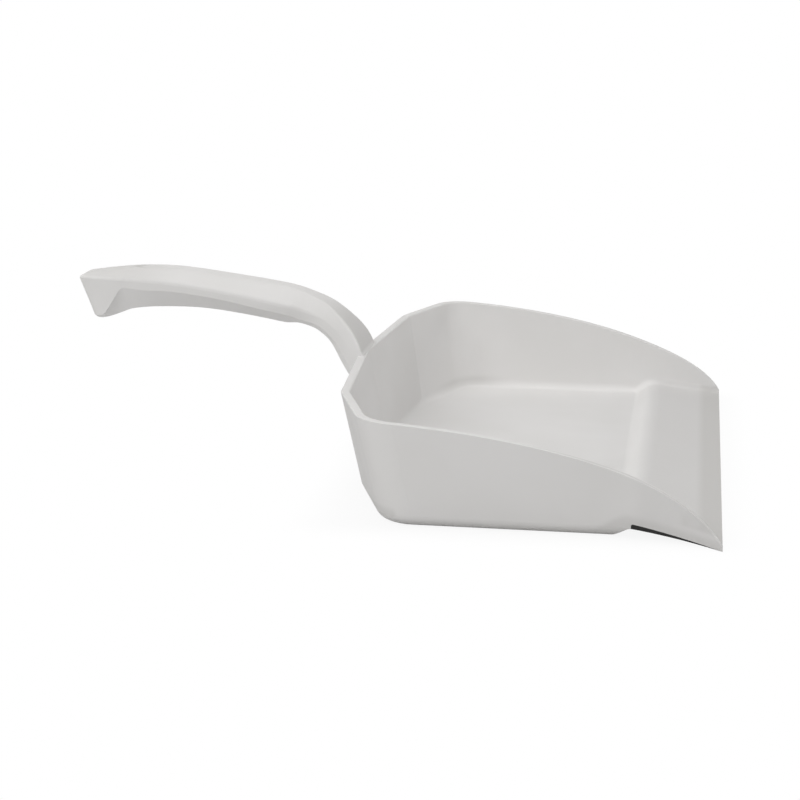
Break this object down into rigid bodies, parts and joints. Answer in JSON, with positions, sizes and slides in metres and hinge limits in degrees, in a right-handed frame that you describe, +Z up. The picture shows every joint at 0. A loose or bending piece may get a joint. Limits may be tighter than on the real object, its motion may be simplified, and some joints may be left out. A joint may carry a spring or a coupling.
{
  "type": "hand dustpan",
  "caption": "Wide white hand dustpan with a V-shaped back, swept side walls, a ramped lip with a dark rubber strip under it, and a raised contoured handle.",
  "frame": {"origin": "middle of the part's overall length and width, on the plane of its flat base", "axes": "+X toward the lip, -X along the handle, +Y to the left seen from the handle, +Z up out of the pan"},
  "size_m": [0.3316, 0.295, 0.0918],
  "materials": {
    "white_moulding": "satin moulded polypropylene with a fine grain",
    "dark_rubber": "matte black rubber"
  },
  "bodies": {
    "root": {"pan_and_handle": "white_moulding", "lip_strip": "dark_rubber"}
  },
  "joints": []
}
